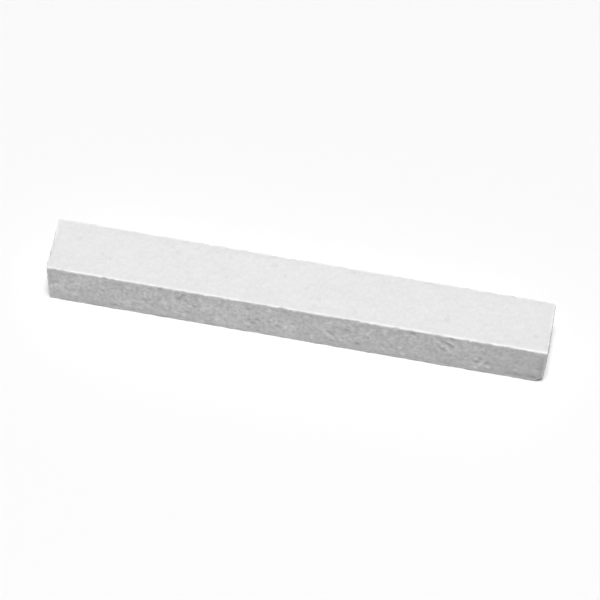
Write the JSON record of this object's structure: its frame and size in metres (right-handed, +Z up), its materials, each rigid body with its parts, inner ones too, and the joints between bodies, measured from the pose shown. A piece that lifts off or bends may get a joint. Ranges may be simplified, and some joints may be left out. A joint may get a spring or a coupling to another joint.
{
  "type": "chalk stick",
  "caption": "Straight square-section stick of white blackboard chalk, one solid piece with softened edges and two small knocked-off corners.",
  "frame": {"origin": "centre of the underside, the flat long face that the stick lies on", "axes": "+X along the stick towards the end with the larger knocked-off corner, +Y from the front face to the back face, +Z up"},
  "size_m": [0.1, 0.012, 0.012],
  "materials": {
    "chalk": "matt, powdery, fine grained"
  },
  "bodies": {
    "root": {"chalk_stick": "chalk"}
  },
  "joints": []
}
